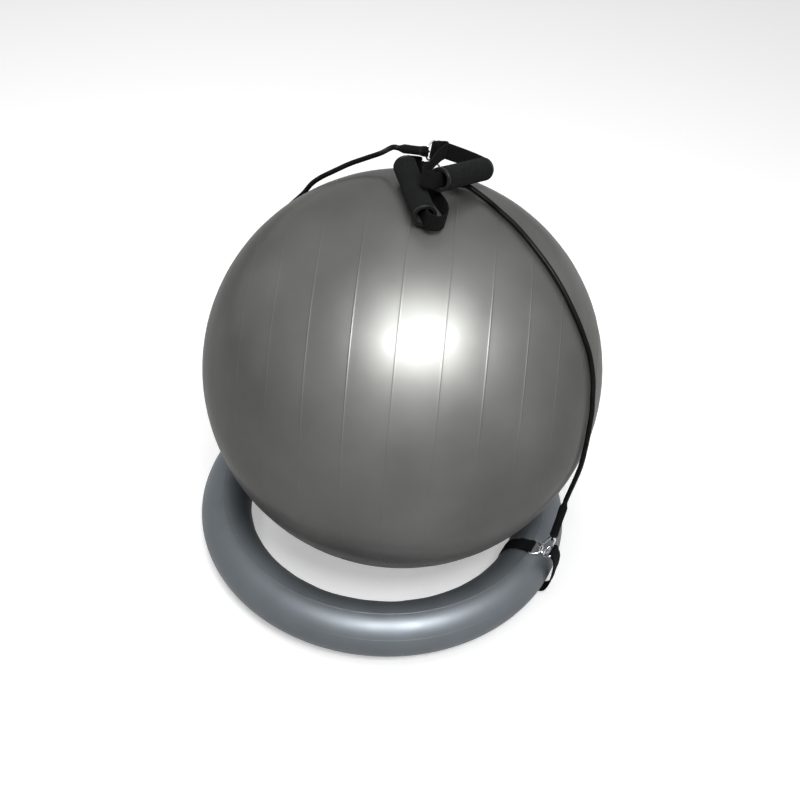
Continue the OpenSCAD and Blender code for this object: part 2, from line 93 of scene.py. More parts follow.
# Where things are, as in the part's source
place = {"ballRadius": 325.0, "ballRise": 324.0, "rib": 0.6, "lieGap": 0.3, "ringRadius": 278.7,
         "tubeRadius": 43.6, "tubeRise": 42.1, "leanTurn": 63.4, "anchorTurn": -26.0}
lieRadius = place["ballRadius"] + place["rib"] + place["lieGap"]     # where things lie on the ball
overTube = place["ballRise"] - place["tubeRise"]
lean = place["ringRadius"] - sqrt((lieRadius + place["tubeRadius"]) ** 2 - overTube ** 2)
leanBy = lean * aim(place["leanTurn"], 0)
outside = place["ballRadius"] + place["rib"] - place["ringRadius"] - place["tubeRadius"]
ringAt = -(leanBy + Vector((outside, outside, 0))) / 2
ringMid = ringAt + Vector((0, 0, place["tubeRise"]))
ballAt = ringAt + leanBy + Vector((0, 0, place["ballRise"]))


# A smooth line through points, with steps to each stretch
def softLine(points, steps):
    p = [Vector(q) for q in points]
    line = []
    for i in range(len(p) - 1):
        a, b, c, d = p[max(i - 1, 0)], p[i], p[i + 1], p[min(i + 2, len(p) - 1)]
        for k in range(steps):
            t = k / steps
            line.append((2 * b + (c - a) * t + (2 * a - 5 * b + 4 * c - d) * t * t
                         + (3 * b - a - 3 * c + d) * t ** 3) / 2)
    return line + [p[-1]]


# Half a circle that starts along x and bulges along y
def halfTurn(mid, radius, x, y, steps):
    return [mid + radius * (cos(pi * k / steps) * x + sin(pi * k / steps) * y) for k in range(steps + 1)]


def headings(line):
    last = len(line) - 1
    return [(line[min(i + 1, last)] - line[max(i - 1, 0)]).normalized() for i in range(last + 1)]


# Puts a mesh in the scene on its body, in the place of its CAD nodes
def addPiece(name, points, faces, body, stands=(), finish=None, sizes=None):
    mesh = bpy.data.meshes.new(name)
    mesh.from_pydata([Vector(p) * mm for p in points], [], faces)
    mesh.validate()
    mesh.polygons.foreach_set("use_smooth", [True] * len(mesh.polygons))
    if sizes:
        layer = mesh.uv_layers.new(name="cloth")
        for loop in mesh.loops:
            layer.data[loop.index].uv = sizes[loop.vertex_index]
    piece = bpy.data.objects.new(name, mesh)
    bpy.context.collection.objects.link(piece)
    if body:
        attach(piece, body)
    if stands:
        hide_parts(*stands)
    if finish:
        mesh.materials.append(finish)
    return piece


# Faces between rings of n points each; an open run of rings is capped at both ends
def ringFaces(count, n, start=0, closed=False):
    faces = []
    for i in range(count if closed else count - 1):
        j = (i + 1) % count
        for k in range(n):
            m = (k + 1) % n
            faces.append((start + i * n + k, start + i * n + m, start + j * n + m, start + j * n + k))
    if not closed:
        faces.append(tuple(start + k for k in reversed(range(n))))
        faces.append(tuple(start + (count - 1) * n + k for k in range(n)))
    return faces


# Round section swept along a line without twist; its ends can be cut square to two given ways
def sweptRound(line, radius, sides, square=None):
    way = headings(line)
    if square:
        way[0], way[-1] = square
    side = way[0].orthogonal().normalized()
    points, sizes, run = [], [], 0.0
    for i, p in enumerate(line):
        side = squareTo(side, way[i])
        other = way[i].cross(side)
        run += (p - line[i - 1]).length if i else 0
        for k in range(sides):
            a = 2 * pi * k / sides
            points.append(p + radius * (cos(a) * side + sin(a) * other))
            sizes.append((radius * a * mm, run * mm))
    return points, sizes


# Half of the webbing's outline in parts of its half width and half thickness: soft edges, thin crown
webbingEdge = ((1, 0), (0.985, 0.62), (0.94, 0.92), (0.6, 0.98), (0, 1), (-0.6, 0.98), (-0.94, 0.92),
               (-0.985, 0.62))


def sweptWebbing(line, across, width, thick):
    way = headings(line)
    outline = [(u * width / 2, w * thick / 2) for u, w in webbingEdge]
    outline += [(-u, -w) for u, w in outline]
    points, sizes, run = [], [], 0.0
    for i, p in enumerate(line):
        up = squareTo(across, way[i])
        side = up.cross(way[i])
        run += (p - line[i - 1]).length if i else 0
        for u, w in outline:
            points.append(p + u * up + w * side)
            sizes.append((u * mm, run * mm))
    return points, sizes, len(outline)


# Turned shape: rings about an axis, from a profile of (radius, height)
def turnedShape(foot, axis, side, profile, sides, wobble, closed=False):
    x = squareTo(side, axis)
    y = axis.cross(x)
    points, sizes = [], []
    for r, h in profile:
        for k in range(sides):
            a = 2 * pi * k / sides
            rr = r + (wobble(a, h) if wobble else 0)
            points.append(foot + rr * (cos(a) * x + sin(a) * y) + h * axis)
            sizes.append((max(r, 1) * a * mm, h * mm))
    return points, sizes, ringFaces(len(profile), sides, closed=closed)


# One material, built up from its dictionary
class Finish:
    span = (0.3, 0.7)     # where most values of a noise lie

    def __init__(self, name, v):
        self.material = bpy.data.materials.new(name)
        self.material.use_nodes = True
        self.material.diffuse_color = (*v["colour"], 1)
        self.tree = self.material.node_tree
        self.shader = self.tree.nodes["Principled BSDF"]
        self.colour, self.relief = v["colour"], None
        sockets = {"Base Color": (*v["colour"], 1), "Roughness": v["rough"], "Metallic": v.get("metal", 0)}
        for socket, value in {**sockets, **v.get("more", {})}.items():
            self.shader.inputs[socket].default_value = value

    def node(self, kind, **settings):
        n = self.tree.nodes.new("ShaderNode" + kind)
        for key, value in settings.items():
            if hasattr(n, key):
                setattr(n, key, value)
            else:
                n.inputs[key.replace("_", " ")].default_value = value
        return n

    def join(self, a, b):
        self.tree.links.new(a, b)

    # Coordinates in metres on the piece, or its cloth's own width and length
    def coords(self, cloth=False, stretch=(1, 1, 1)):
        where = self.node("TexCoord")
        fit = self.node("Mapping")
        fit.inputs["Scale"].default_value = stretch
        self.join(where.outputs["UV" if cloth else "Object"], fit.inputs["Vector"])
        return fit.outputs["Vector"]

    def speckle(self, scale, detail, cloth=False, stretch=(1, 1, 1)):
        n = self.node("TexNoise", Scale=scale, Detail=detail, Roughness=0.5)
        self.join(self.coords(cloth, stretch), n.inputs["Vector"])
        return n.outputs["Fac"]

    def cells(self, scale):
        n = self.node("TexVoronoi", Scale=scale)
        self.join(self.coords(), n.inputs["Vector"])
        return n.outputs["Distance"]

    # Plain weave with threads of a given pitch in millimetres
    def weave(self, pitch, aspect):
        at = self.coords(cloth=True)
        waves = []
        for way, p in (("X", pitch), ("Y", pitch * aspect)):
            # At scale 1 a wave texture's bands repeat every pi / 10
            w = self.node("TexWave", wave_type="BANDS", bands_direction=way, wave_profile="SIN",
                          Scale=pi / 10 / (p * mm))
            self.join(at, w.inputs["Vector"])
            waves.append(w.outputs["Fac"])
        check = self.node("TexChecker", Scale=1 / (pitch * mm))
        check.inputs["Color1"].default_value = (1, 1, 1, 1)
        check.inputs["Color2"].default_value = (0, 0, 0, 1)
        self.join(at, check.inputs["Vector"])
        mix = self.node("Mix", data_type="FLOAT")
        self.join(check.outputs["Fac"], mix.inputs[0])
        self.join(waves[0], mix.inputs[2])
        self.join(waves[1], mix.inputs[3])
        return mix.outputs[0]

    def tint(self, fac, dark, light, span=span):
        ramp = self.node("ValToRGB")
        first, last = ramp.color_ramp.elements
        first.position, last.position = span
        first.color = (*[c * dark for c in self.colour], 1)
        last.color = (*[min(c * light, 1) for c in self.colour], 1)
        self.join(fac, ramp.inputs["Fac"])
        self.join(ramp.outputs["Color"], self.shader.inputs["Base Color"])

    def gloss(self, fac, low, high):
        fit = self.node("MapRange", From_Min=self.span[0], From_Max=self.span[1], To_Min=low, To_Max=high)
        self.join(fac, fit.inputs["Value"])
        self.join(fit.outputs["Result"], self.shader.inputs["Roughness"])

    # Each relief sits on the one before it; height in millimetres
    def emboss(self, fac, height, strength):
        bump = self.node("Bump", Strength=strength, Distance=height * mm)
        self.join(fac, bump.inputs["Height"])
        if self.relief:
            self.join(self.relief, bump.inputs["Normal"])
        self.relief = bump.outputs["Normal"]
        self.join(self.relief, self.shader.inputs["Normal"])


# Finishes. A speckle is told by its scale and detail; after them come for tint the darkest and the
# lightest part of the colour, for gloss the least and the greatest roughness, and for each relief its
# height and strength. The cloths' tint follows their weave, told by pitch and aspect. A speckle marked
# onCloth lies in the cloth's own width and length.
cloth = {"Sheen Weight": 0.01, "Specular IOR Level": 0.03}
finishes = {
    "pearlVinyl": {"colour": (0.112, 0.113, 0.108), "rough": 0.56, "metal": 0.88,
                   "more": {"Specular Tint": (0.25, 0.25, 0.25, 1), "Coat Weight": 0.3,
                            "Coat Roughness": 0.2, "Coat IOR": 1.3},
                   "tint": (5.0, 4, 0.80, 1.14), "gloss": (2.5, 3, 0.46, 0.64),
                   "reliefs": [(9.0, 2, 1.2, 0.35), (900.0, 2, 0.05, 0.25)]},
    "greyVinyl": {"colour": (0.124, 0.139, 0.153), "rough": 0.47, "metal": 0.42,
                  "more": {"Specular IOR Level": 0.35},
                  "tint": (8.0, 4, 0.88, 1.10), "gloss": (14.0, 3, 0.44, 0.54),
                  "reliefs": [(24.0, 3, 0.9, 0.35), (1100.0, 2, 0.05, 0.3)]},
    "wovenWebbing": {"colour": (0.0055, 0.0056, 0.006), "rough": 0.82,
                     "more": {**cloth, "Sheen Roughness": 0.5},
                     "reliefs": [(3000, 2, 0.1, 0.3)], "onCloth": True,
                     "weave": (1.3, 0.8), "weaveTint": (0.5, 1.9, (0.1, 0.9)),
                     "weaveRelief": (0.35, 0.8)},
    "sleeveCloth": {"colour": (0.0055, 0.0056, 0.006), "rough": 0.85,
                    "more": {**cloth, "Sheen Roughness": 0.6}, "reliefs": [(60, 3, 0.8, 0.4)],
                    "weave": (0.9, 1.0), "weaveTint": (0.55, 1.8, (0.1, 0.9)),
                    "weaveRelief": (0.22, 0.8)},
    "blackLatex": {"colour": (0.005, 0.005, 0.005), "rough": 0.48, "more": {"Specular IOR Level": 0.05},
                   "tint": (40, 3, 0.75, 1.35), "gloss": (70, 3, 0.36, 0.5),
                   "reliefs": [(1500, 2, 0.05, 0.3)]},
    "gripFoam": {"colour": (0.0065, 0.0068, 0.0072), "rough": 0.9,
                 "more": {**cloth, "Sheen Roughness": 0.7},
                 "tint": (260, 4, 0.7, 1.6), "reliefs": [(120, 4, 0.5, 0.3)],
                 "cells": 1600, "cellRelief": (0.25, 0.6)},
    "capPlastic": {"colour": (0.009, 0.009, 0.0095), "rough": 0.42, "more": {"Specular IOR Level": 0.1},
                   "tint": (90, 3, 0.8, 1.3), "gloss": (200, 3, 0.32, 0.46),
                   "reliefs": [(1800, 2, 0.05, 0.4)]},
    "tubePlastic": {"colour": (0.03, 0.03, 0.033), "rough": 0.5,
                    "tint": (60, 3, 0.8, 1.25), "reliefs": [(700, 2, 0.06, 0.3)]},
    "plugPlastic": {"colour": (0.16, 0.16, 0.17), "rough": 0.45,
                    "tint": (120, 3, 0.88, 1.12), "gloss": (300, 3, 0.38, 0.52),
                    "reliefs": [(1500, 2, 0.05, 0.4)]},
    "platedSteel": {"colour": (0.74, 0.74, 0.75), "rough": 0.16, "metal": 1.0,
                    "tint": (150, 4, 0.9, 1.06), "gloss": (260, 4, 0.12, 0.24),
                    "reliefs": [(1400, 3, 0.03, 0.3)], "stretch": (1, 1, 0.3)},
    "sewingThread": {"colour": (0.016, 0.016, 0.017), "rough": 0.7, "more": {"Specular IOR Level": 0.25},
                     "tint": (900, 2, 0.7, 1.5), "reliefs": [(2500, 2, 0.08, 0.5)]}}


def makeFinish(name, v):
    f = Finish(name, v)
    if "tint" in v:
        f.tint(f.speckle(*v["tint"][:2]), *v["tint"][2:])
    if "gloss" in v:
        f.gloss(f.speckle(*v["gloss"][:2]), *v["gloss"][2:])
    for scale, detail, height, strength in v["reliefs"]:
        grain = f.speckle(scale, detail, v.get("onCloth", False), v.get("stretch", (1, 1, 1)))
        f.emboss(grain, height, strength)
    if "weave" in v:
        woven = f.weave(*v["weave"])
        f.tint(woven, *v["weaveTint"])
        f.emboss(woven, *v["weaveRelief"])
    if "cells" in v:
        f.emboss(f.cells(v["cells"]), *v["cellRelief"])
    return f.material


look = {name: makeFinish(name, v) for name, v in finishes.items()}
print("finishes made")

# Hooks and steel loops as in the part's source: x outwards and z up from the middle of the ring's tube
hook = {"at": (26.9965, 0, 52.4998), "lean": 72.0, "span": 33.5, "eye": 4.5, "wide": 8.0, "wire": 2.0}
steelLoop = {"wire": 1.5, "depth": 18.0, "barGap": 0.4, "innerTilt": 8.0, "outerTilt": 216.0,
             "spread": 38.0}
hookDir, hookSide = aim(0, hook["lean"]), aim(0, hook["lean"] - 90)


def anchorPoint(turn, p):
    return ringMid + spun((place["ringRadius"] + p[0], p[1], p[2]), place["anchorTurn"] + turn)


# Middle of the bar of a steel loop that hangs in the hook's bow
def anchorBar(tilt, spread):
    reach = hook["wide"] - hook["wire"] - steelLoop["wire"] - steelLoop["barGap"]
    bow = Vector(hook["at"]) + reach * aim(0, hook["lean"] - 180 + spread)
    return bow - steelLoop["depth"] * aim(0, tilt)


innerBar = anchorBar(steelLoop["innerTilt"], -steelLoop["spread"])
outerBar = anchorBar(steelLoop["outerTilt"], steelLoop["spread"])

# Bands: a smooth tube between two sleeves. The aims are turn and rise of the sleeves; the routes are
# turn, rise and height over a tube that lies on the ball, from the ball's middle
band = {"radius": 4.0, "sides": 20, "steps": 7, "lead": 12.0}
rightBand = {"anchor": 0, "lowAim": (59.5, 69.5), "topAim": (-23.4, -13), "bowDir": Vector((24, 1, -3)),
             "route": [(-28, -9, 2), (-28.5, 0, 0), (-28, 6, 0), (-26.5, 10.5, 0), (-25.5, 14.5, 0),
                       (-24, 18, 0), (-23, 21.5, 0), (-22, 25.5, 0), (-21.5, 30, 0), (-20.5, 36, 0),
                       (-18.5, 43, 0), (-15.5, 50, 0.2), (-11, 57, 0.4), (-4, 62.5, 0), (4, 67.2, 0),
                       (12.2, 69.7, 0)]}
leftBand = {"anchor": 180, "lowAim": (88, 82), "topAim": (158, -8), "bowDir": -aim(58, -16),
            "route": [(158.5, -9, 2), (158, 0, 0), (156, 9, 0), (152, 18, 0.3), (146, 27, 0.2),
                      (140, 35, 0), (137, 41, 1), (136, 46, 5.5), (135, 50.5, 7), (131.5, 54.8, 8.5),
                      (126, 58.6, 12), (119.5, 62, 15.5), (113.5, 66.5, 21.5)]}

# Handles: the grip's middle from the ball's middle, its axis and its up, and the sling in the grip's
# frame. The sling's starts and ends are told from the steel bar that it turns back round.
grip = {"length": 135.0, "foam": 17.5, "core": 14.5, "wall": 1.5, "cap": 4.0}
gripEnd = grip["length"] / 2
rightHandle = {"mid": (lieRadius + 17.7) * aim(-91, 87.4), "dir": aim(104.7, 2.5),
               "up": (0.15, 0.037, 0.99), "flip": 1, "bar": (69.5, 38, -4.7), "turn": 0,
               "starts": [(1.9, -9, 0), (1.5, -12.5, 0)],
               "sling": [(75, 27, -5), (83, 29, -5.5), (87, 23, -6), (85, 11, -5.2), (78, 3, -2.2),
                         (gripEnd, 0, 0), (55, 0, 0), (-55, 0, 0), (-gripEnd, 0, 0), (-78, 1.5, 0),
                         (-84, 10, 0), (-81, 22, 0), (-68, 31, 0), (-45, 35, 0), (-15, 31, -1.5),
                         (20, 26, -1.5), (52, 23, -4.5)],
               "ends": [(-2.5, -10, 0), (-2.7, -5, 0)]}
leftHandle = {"mid": Vector((67, 20.5, lieRadius + 28.1)), "dir": aim(58, -16),
              "up": (0.135, 0.243, 0.962), "flip": -1, "bar": (20, 66, 14), "turn": 90,
              "starts": [(9, 1.9, 0), (13, 1.7, 0)],
              "sling": [(46, 74, 11), (60, 78, 8), (69, 73, 6.5), (75.5, 60, 5), (81, 35, 3),
                        (84, 12, 0.5), (79, 2, 0), (gripEnd, 0, 0), (55, 0, 0), (-55, 0, 0),
                        (-gripEnd, 0, 0), (-78, 1.5, 0), (-84, 10, 0), (-78, 22, 0.5), (-45, 32, 3.5),
                        (-10, 43, 9), (20, 50, 13.5), (38, 53, 15), (43.5, 58, 15), (38, 63, 14.5)],
              "ends": [(10, -2.5, 0), (5, -2.7, 0)]}


# A grip's middle, then the ways along it, beside it and up from it
def gripFrame(v):
    along = Vector(v["dir"]).normalized()
    side = along.cross(Vector(v["up"]).normalized()).normalized()
    return ballAt + Vector(v["mid"]), along, side * v["flip"], side.cross(along).normalized()


def inFrame(f, p):
    return f[0] + p[0] * f[1] + p[1] * f[2] + p[2] * f[3]


# Sleeves: outlines of foot and mouth as inset from the radius, and height from the foot or below the
# mouth. The loop's cord and the upper sleeve's tab are told from the foot: height, and off the middle.
sleeve = {"radius": 7.0, "low": 62.0, "top": 40.0, "sides": 40,
          "foot": [(6.6, 0.5), (2.2, 0.15), (0.9, 0.1), (0.25, 0.6), (0.05, 1.6)],
          "mouth": [(0.4, 5.6), (1.3, 3.6), (1.8, 1.6), (2.1, 0.4), (2.6, 0.1)],
          "neck": 7.0, "waist": 0.35, "rings": 16, "slack": 0.16, "slackRound": 1.3, "slackPitch": 9,
          "gather": 0.14, "gathers": 9, "gatherLength": 16,
          "cord": 1.5, "cordSides": 12, "cordEnd": 0.6, "loopTurn": 5.0, "loopReach": 7.0,
          "loopGap": 0.25, "loopSteps": 20,
          "tab": 15.0, "tabThick": 1.2, "tabLegs": [(3.0, 1.5), (-0.6, 1.9)], "tabSteps": 16,
          "sewingRows": (3.0, 5.0), "sewingInset": 0.06, "sewingCount": 22}


# Foot of a sleeve whose cord loop hangs on a wire
def loopFoot(wireAt, wireDir, wire, way):
    gap = wire + sleeve["cord"] + sleeve["loopGap"]
    return wireAt - gap * squareTo(way, wireDir) + sleeve["loopReach"] * way


def onBall(route):
    return [ballAt + (lieRadius + band["radius"] + lift) * aim(turn, rise) for turn, rise, lift in route]


def bandEnds(v, handle):
    eye = Vector(hook["at"]) + (hook["span"] + hook["eye"]) * hookDir
    across = spun(hookSide, place["anchorTurn"] + v["anchor"])
    lowDir, topDir = aim(*v["lowAim"]), aim(*v["topAim"])
    low = loopFoot(anchorPoint(v["anchor"], eye), across, hook["wire"], lowDir)
    f = gripFrame(handle)
    bow = inFrame(f, handle["bar"]) + steelLoop["depth"] * squareTo(v["bowDir"], f[3])
    top = loopFoot(bow, f[3], steelLoop["wire"], topDir)
    return low, lowDir, top, topDir


# Sleeve from its foot along its way, gathered at the tube, with its cord loop; where a wire is given,
# the loop runs in a flat tab of the sleeve's cloth, which is folded round that wire
def makeSleeve(v, name, foot, way, side, length, body, seed, wire=None):
    r, turn, reach = v["radius"], v["loopTurn"], v["loopReach"]
    inset, start = v["foot"][-1]
    span = length - v["neck"] - start
    profile = [(r - i, h) for i, h in v["foot"]]
    for k in range(1, v["rings"] + 1):
        part = k / v["rings"]
        profile.append((r - inset - v["waist"] * sin(pi * part) ** 2, start + span * part))
    profile += [(r - i, length - h) for i, h in v["mouth"]]

    def folds(a, h):
        end = max(0, 1 + (h - length) / v["gatherLength"])
        q = Vector((cos(a) * v["slackRound"] + seed, sin(a) * v["slackRound"], h / v["slackPitch"]))
        return -v["slack"] * (1 + noise.noise(q)) - v["gather"] * end * (1 + sin(v["gathers"] * a + seed))
    points, sizes, faces = turnedShape(foot, way, side, profile, v["sides"], folds)
    x = squareTo(side, way)
    ends = [foot + v["cordEnd"] * way - turn * x, foot + v["cordEnd"] * way + turn * x]
    bow = halfTurn(foot + (turn - reach) * way, turn, -x, -way, v["loopSteps"])
    loop = [ends[0]] + bow + [ends[1]]
    more, moreSizes = sweptRound(loop, v["cord"], v["cordSides"])
    faces += ringFaces(len(loop), v["cordSides"], len(points))
    points, sizes = points + more, sizes + moreSizes
    if wire:
        at = foot + (wire + v["cord"] + v["loopGap"] - reach) * way
        tab = [foot + h * way - u * x for h, u in v["tabLegs"]]
        tab += halfTurn(at, wire + v["loopGap"] + v["tabThick"] / 2, -x, -way, v["tabSteps"])
        tab += [foot + h * way + u * x for h, u in reversed(v["tabLegs"])]
        more, moreSizes, n = sweptWebbing(tab, way.cross(x), v["tab"], v["tabThick"])
        faces += ringFaces(len(tab), n, len(points))
        points, sizes = points + more, sizes + moreSizes
    piece = addPiece(name, points, faces, body, [name], look["sleeveCloth"], sizes)
    for k, h in enumerate(v["sewingRows"]):
        addStitchRing(f"{name}_sewing_{k + 1}", foot, way, side, r - v["sewingInset"], h,
                      v["sewingCount"], body)
    return piece


# Short threads that lie on a surface. The shape is part of the length, part of the radius and lift
thread = {"length": 2.2, "radius": 0.28, "ringLength": 1.5, "ringRadius": 0.22, "sides": 6,
          "shape": ((-0.5, 0.35, -0.1), (-0.42, 0.9, 0.12), (0, 1.1, 0.12), (0.42, 0.9, 0.12),
                    (0.5, 0.35, -0.1))}


# Each stitch is its place, its way and its up
def addStitches(name, stitches, body, length=thread["length"], radius=thread["radius"]):
    points, faces, n = [], [], thread["sides"]
    for at, way, up in stitches:
        start = len(points)
        side = way.cross(up)
        for s, part, lift in thread["shape"]:
            mid = at + s * length * way + lift * up
            for j in range(n):
                a = 2 * pi * j / n
                points.append(mid + radius * part * (cos(a) * side + sin(a) * up))
        faces += ringFaces(len(thread["shape"]), n, start)
    addPiece(name, points, faces, body, (), look["sewingThread"])


def addStitchRing(name, foot, way, side, r, h, count, body):
    x = squareTo(side, way)
    y = way.cross(x)
    stitches = []
    for k in range(count):
        a = 2 * pi * k / count
        up = cos(a) * x + sin(a) * y
        stitches.append((foot + h * way + r * up, way.cross(up), up))
    addStitches(name, stitches, body, thread["ringLength"], thread["ringRadius"])


def makeBand(side, v, handle):
    low, lowDir, top, topDir = bandEnds(v, handle)
    first, last = low + sleeve["low"] * lowDir, top + sleeve["top"] * topDir
    leads = [first, first + band["lead"] * lowDir], [last + band["lead"] * topDir, last]
    line = softLine(leads[0] + onBall(v["route"]) + leads[1], band["steps"])
    points, sizes = sweptRound(line, band["radius"], band["sides"], (lowDir, -topDir))
    tube = addPiece(f"{side}_band_tube", points, ringFaces(len(line), band["sides"]), None,
                    [f"{side}_band_tube"], look["blackLatex"], sizes)
    across = spun((0, 1, 0), place["anchorTurn"] + v["anchor"])
    up = gripFrame(handle)[3]
    sleeves = [makeSleeve(sleeve, f"{side}_lower_sleeve", low, lowDir, across, sleeve["low"], "base",
                          seed=1.0),
               makeSleeve(sleeve, f"{side}_upper_sleeve", top, topDir, up.cross(topDir), sleeve["top"],
                          f"{side}_handle", seed=4.0, wire=steelLoop["wire"])]
    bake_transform(tube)


# The two bands, each from its anchor's hook to its handle
makeBand("right", rightBand, rightHandle)
makeBand("left", leftBand, leftHandle)
print("bands made")

# Ball: rings of points round the axis of its ribs, with a recess for the valve plug at one pole. A
# rib's shape is told by distance from its middle and height above the skin, the lip by how far it is
# wider than the recess and below the skin
ball = {"pitch": 11.25, "ribs": 6, "turn": -2.5, "around": 288, "between": 10, "swell": 0.2,
        "ribShape": ((-2.2, 0.0), (-1.0, 0.02), (-0.65, 0.13), (-0.3, 0.19), (0, 0.22), (0.3, 0.19),
                     (0.65, 0.13), (1.0, 0.02), (2.2, 0.0)),
        "ribsEnd": 80.0, "capHeight": 0.1, "backCap": (89.2, 88.4, 88.0, 87.7, 86, 83, 80, 76.5, 73),
        "plugCap": (82, 84.5, 87, 87.7, 88.0), "recess": 8.3, "recessDepth": 1.6, "floorFall": 0.02,
        "recessLip": ((0.5, 0), (0.1, 0.25), (0, 0.6)), "bore": 3.85, "boreDepth": 5.0}


# Rings as rise from the middle plane and height above the skin
def ballRises(v):
    perMm = 180 / (pi * place["ballRadius"])
    half = v["ribShape"][-1][0] * perMm
    rises = [(-a, v["capHeight"]) for a in v["backCap"]]
    for k in range(-v["ribs"], v["ribs"] + 1):
        at = k * v["pitch"]
        rises += [(at + o * perMm, h) for o, h in v["ribShape"]]
        reach = v["pitch"] if k < v["ribs"] else v["ribsEnd"] - at
        for j in range(1, v["between"]):
            part = j / v["between"]
            rises.append((at + half + (reach - 2 * half) * part, v["swell"] * sin(pi * part)))
    return rises + [(a, v["capHeight"]) for a in v["plugCap"]]


def makeBall(v):
    axis = -spun((1, 0, 0), v["turn"])
    up = Vector((0, 0, 1))
    side = up.cross(axis)
    r = place["ballRadius"]
    profile = [((r + h) * cos(radians(a)), (r + h) * sin(radians(a))) for a, h in ballRises(v)]
    profile += [(v["recess"] + wider, r - deep) for wider, deep in v["recessLip"]]
    profile += [(v["recess"], r - v["recessDepth"]), (v["bore"], r - v["recessDepth"] - v["floorFall"]),
                (v["bore"], r - v["boreDepth"])]
    points, sizes = [], []
    for d, h in profile:
        for k in range(v["around"]):
            a = 2 * pi * k / v["around"]
            p = ballAt + d * (cos(a) * up + sin(a) * side) + h * axis
            p.z = max(p.z, 0)
            points.append(p)
            sizes.append((d * a * mm, h * mm))
    faces = [tuple(reversed(q)) for q in ringFaces(len(profile), v["around"])]
    addPiece("ball_skin", points, faces, "ball", ["ball_shell"], look["pearlVinyl"], sizes)


makeBall(ball)
print("ball made")

# Base ring: an inflated tube, pressed in by its straps, with two seam lines and soft dents. The fine
# stretches are half their width and the step in them, in degrees
baseRing = {"around": 300, "rounds": 120, "fineStrap": (7, 0.35), "fineValve": (2.2, 0.16),
            "fineSeam": (2.2, 0.4), "fineOutside": (12.5, 1.0),
            "seams": (27.0, 85.0), "seamHeight": 0.25, "seamHalf": 1.1,
            "dent": 0.9, "dentSide": 0.35, "dentRound": 9, "dentPitch": 40, "dentShare": 0.1,
            "strapHalf": 13.0, "press": 0.11, "heldFrom": 76, "heldTo": 268, "heldFade": 10,
            "bulge": 0.62, "bulgeStart": 1.2, "bulgeReach": 14,
            "crease": 0.55, "creaseReach": 22, "creaseTurn": 11, "creaseSway": 0.4, "creaseWave": 9,
            "creaseEnd": 60,
            "valveTurn": 75.0, "recess": 8.4, "recessDepth": 2.45, "recessLip": 0.5, "recessSlope": 0.6}


# Turns all the way round in coarse steps, with finer ones at the given spots
def fineSteps(coarse, spots):
    steps = [360.0 * k / coarse for k in range(coarse)]
    for at, half, step in spots:
        steps = [s for s in steps if abs(turnOff(s, at)) > half]
        count = int(2 * half / step)
        steps += [(at - half + 2 * half * k / count) % 360 for k in range(count + 1)]
    return sorted(steps)


# Radius of the tube at a turn round the ring and a turn round the tube, away from a strap's middle
def tubeRadiusAt(v, turn, roll, away):
    r = place["tubeRadius"]
    for s in v["seams"]:
        off = radians(turnOff(roll, s)) * place["tubeRadius"]
        if abs(off) < v["seamHalf"]:
            r += v["seamHeight"] * cos(off / v["seamHalf"] * pi / 2) ** 2
    # Dents only go in, so the ring stays off the ball
    q = v["dentRound"] * aim(turn, 0) + Vector((0, 0, roll / v["dentPitch"]))
    r -= v["dent"] * max(0, v["dentSide"] - cos(radians(roll))) * max(0, noise.noise(q) + v["dentShare"])
    if away >= v["creaseEnd"]:
        return r
    # The strap presses the tube between its edges; a bulge and creases run out from them
    held = max(0, min(1, (roll - v["heldFrom"]) / v["heldFade"]))
    held *= max(0, min(1, (v["heldTo"] - roll) / v["heldFade"]))
    edge = away - v["strapHalf"]
    if edge < 0:
        return r - v["press"] * held
    r += held * v["bulge"] * (1 - exp(-edge / v["bulgeStart"])) * exp(-(edge / v["bulgeReach"]) ** 2)
    wave = sin(roll * pi / v["creaseTurn"] + v["creaseSway"] * sin(away / v["creaseWave"]))
    return r - held * v["crease"] * exp(-(edge / v["creaseReach"]) ** 2) * max(0, wave)


def makeBaseRing(v):
    big, small = place["ringRadius"], place["tubeRadius"]
    anchors = [place["anchorTurn"] % 360, (place["anchorTurn"] + 180) % 360]
    turnSpots = [(a, *v["fineStrap"]) for a in anchors] + [(v["valveTurn"], *v["fineValve"])]
    roundSpots = [(s, *v["fineSeam"]) for s in v["seams"]] + [(0.0, *v["fineOutside"])]
    turns, rounds = fineSteps(v["around"], turnSpots), fineSteps(v["rounds"], roundSpots)
    points, sizes = [], []
    for turn in turns:
        away = min(radians(abs(turnOff(turn, a))) for a in anchors) * big
        for roll in rounds:
            r = tubeRadiusAt(v, turn, roll, away)
            out, rise = big + r * cos(radians(roll)), r * sin(radians(roll))
            if out > big:     # the outer wall, with the valve's recess
                d = sqrt((radians(turn - v["valveTurn"]) * (big + small)) ** 2 + rise ** 2)
                sunk = max(0, min(1, (v["recess"] + v["recessLip"] - d) / v["recessSlope"]))
                out += sunk * (big + small - v["recessDepth"] - out)
            p = ringMid + out * aim(turn, 0) + Vector((0, 0, rise))
            p.z = max(p.z, 0)
            points.append(p)
            sizes.append((radians(roll) * small * mm, radians(turn) * big * mm))
    faces = ringFaces(len(turns), len(rounds), closed=True)
    addPiece("base_ring_skin", points, faces, "base", ["base_ring"], look["greyVinyl"], sizes)


makeBaseRing(baseRing)
print("base ring made")

